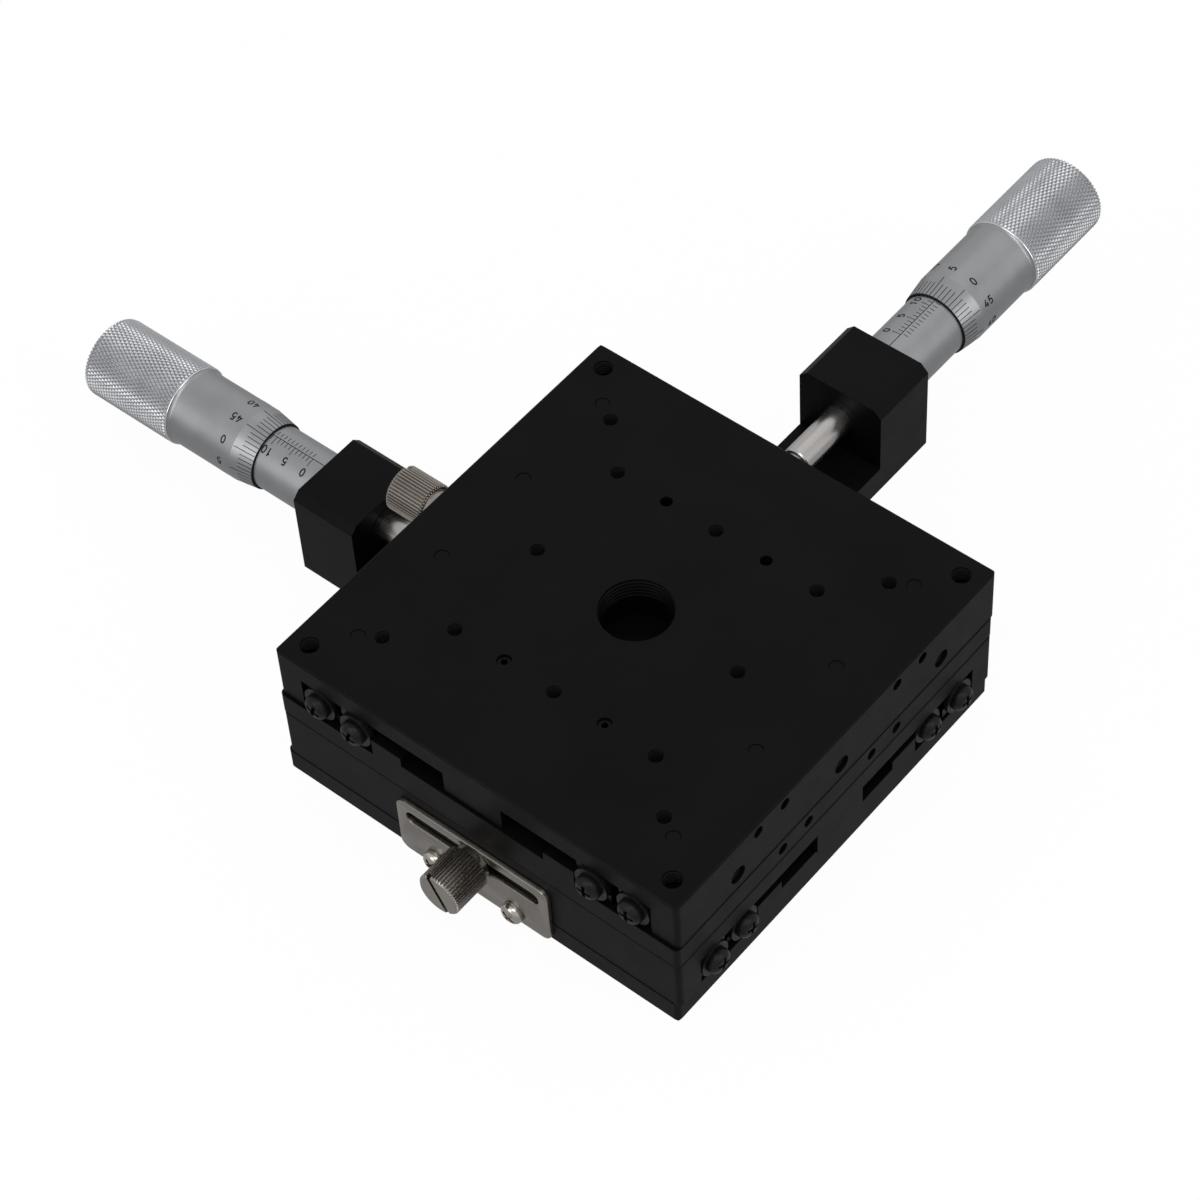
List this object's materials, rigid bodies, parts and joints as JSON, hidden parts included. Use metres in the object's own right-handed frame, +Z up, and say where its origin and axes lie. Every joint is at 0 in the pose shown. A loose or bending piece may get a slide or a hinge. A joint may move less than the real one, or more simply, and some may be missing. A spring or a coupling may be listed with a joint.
{
  "type": "two-axis micrometer stage",
  "caption": "Square two-axis crossed-roller stage in black, with a micrometer head and a thumb-screw lock on each axis and threaded holes in its top.",
  "frame": {"origin": "middle of the X base's underside, which is also the middle of its four bolt holes", "axes": "+Z up; +X away from the X micrometer head, along the X stage's travel; +Y towards the Y micrometer head, along the Y stage's travel"},
  "size_m": [0.198, 0.2078, 0.0439],
  "materials": {
    "black_anodised": "satin black anodised",
    "satin_chrome": "satin chrome plated steel",
    "nickel": "nickel plated",
    "ground_steel": "ground, hardened",
    "dark_steel": "black oxide",
    "brass_cage": "plain"
  },
  "bodies": {
    "base": {"x_base_plate": "black_anodised", "x_inner_rails": "ground_steel", "x_inner_rail_screws": "dark_steel", "x_inner_stop_washers": "ground_steel", "x_inner_stop_screws": "dark_steel", "x_bracket": "black_anodised", "x_bracket_screws": "dark_steel", "x_sleeve": "satin_chrome", "x_sleeve_set_screw": "dark_steel", "x_lock_plate": "nickel", "x_lock_plate_screws": "nickel", "x_base_spring_pins": "ground_steel", "x_springs": "ground_steel"},
    "x_table": {"x_table_plate": "black_anodised", "x_outer_rails": "ground_steel", "x_outer_rail_screws": "dark_steel", "x_outer_stop_washers": "ground_steel", "x_outer_stop_screws": "dark_steel", "x_preload_screws": "dark_steel", "x_table_spring_posts": "ground_steel", "x_anvil": "ground_steel", "stage_bolts": "dark_steel", "y_base_plate": "black_anodised", "y_inner_rails": "ground_steel", "y_inner_rail_screws": "dark_steel", "y_inner_stop_washers": "ground_steel", "y_inner_stop_screws": "dark_steel", "y_bracket": "black_anodised", "y_bracket_screws": "dark_steel", "y_sleeve": "satin_chrome", "y_sleeve_set_screw": "dark_steel", "y_lock_plate": "nickel", "y_lock_plate_screws": "nickel", "y_base_spring_pins": "ground_steel", "y_springs": "ground_steel"},
    "x_cages": {"x_roller_cages": "brass_cage", "x_rollers": "ground_steel"},
    "x_spindle": {"x_spindle": "satin_chrome"},
    "x_thimble": {"x_thimble": "satin_chrome", "x_grip": "satin_chrome", "x_thimble_cap": "satin_chrome"},
    "x_lock": {"x_lock_screw": "nickel"},
    "y_table": {"y_table_plate": "black_anodised", "y_outer_rails": "ground_steel", "y_outer_rail_screws": "dark_steel", "y_outer_stop_washers": "ground_steel", "y_outer_stop_screws": "dark_steel", "y_preload_screws": "dark_steel", "y_table_spring_posts": "ground_steel", "y_anvil": "ground_steel"},
    "y_cages": {"y_roller_cages": "brass_cage", "y_rollers": "ground_steel"},
    "y_spindle": {"y_spindle": "satin_chrome"},
    "y_thimble": {"y_thimble": "satin_chrome", "y_grip": "satin_chrome", "y_thimble_cap": "satin_chrome"},
    "y_lock": {"y_lock_screw": "nickel"}
  },
  "joints": [
    {"name": "x_thimble_turn", "type": "hinge", "parent": "x_spindle", "child": "x_thimble", "pos_m": [-0.12, 0, 0.0157], "axis": [1, 0, 0], "range_deg": [-9763.3, 8236.9]},
    {"name": "x_travel", "type": "slide", "parent": "base", "child": "x_table", "axis": [1, 0, 0], "range_m": [-0.01356, 0.01144], "deforming": ["x_springs"]},
    {"name": "x_spindle_slide", "type": "slide", "parent": "base", "child": "x_spindle", "axis": [1, 0, 0], "range_m": [-0.01356, 0.01144]},
    {"name": "x_cage_slide", "type": "slide", "parent": "base", "child": "x_cages", "axis": [1, 0, 0], "range_m": [-0.00678, 0.00572]},
    {"name": "x_lock_turn", "type": "hinge", "parent": "x_table", "child": "x_lock", "pos_m": [0.0006, -0.055, 0.0122], "axis": [0, -1, 0], "range_deg": [0, 360]},
    {"name": "y_thimble_turn", "type": "hinge", "parent": "y_spindle", "child": "y_thimble", "pos_m": [0.0006, 0.12, 0.0347], "axis": [0, 1, 0], "range_deg": [-8661.7, 8978.5]},
    {"name": "y_travel", "type": "slide", "parent": "x_table", "child": "y_table", "axis": [0, 1, 0], "range_m": [-0.01203, 0.01247], "deforming": ["y_springs"]},
    {"name": "y_spindle_slide", "type": "slide", "parent": "x_table", "child": "y_spindle", "axis": [0, 1, 0], "range_m": [-0.01203, 0.01247]},
    {"name": "y_cage_slide", "type": "slide", "parent": "x_table", "child": "y_cages", "axis": [0, 1, 0], "range_m": [-0.00602, 0.00624]},
    {"name": "y_lock_turn", "type": "hinge", "parent": "y_table", "child": "y_lock", "pos_m": [-0.0544, 0.00055, 0.0312], "axis": [-1, 0, 0], "range_deg": [0, 360]}
  ],
  "couplings": [
    {"joint": "x_spindle_slide", "follows": "x_travel", "ratio": 1},
    {"joint": "x_cage_slide", "follows": "x_travel", "ratio": 0.5},
    {"joint": "x_thimble_turn", "follows": "x_travel", "rad_per_m": 12566},
    {"joint": "y_spindle_slide", "follows": "y_travel", "ratio": 1},
    {"joint": "y_cage_slide", "follows": "y_travel", "ratio": 0.5},
    {"joint": "y_thimble_turn", "follows": "y_travel", "rad_per_m": 12566}
  ]
}
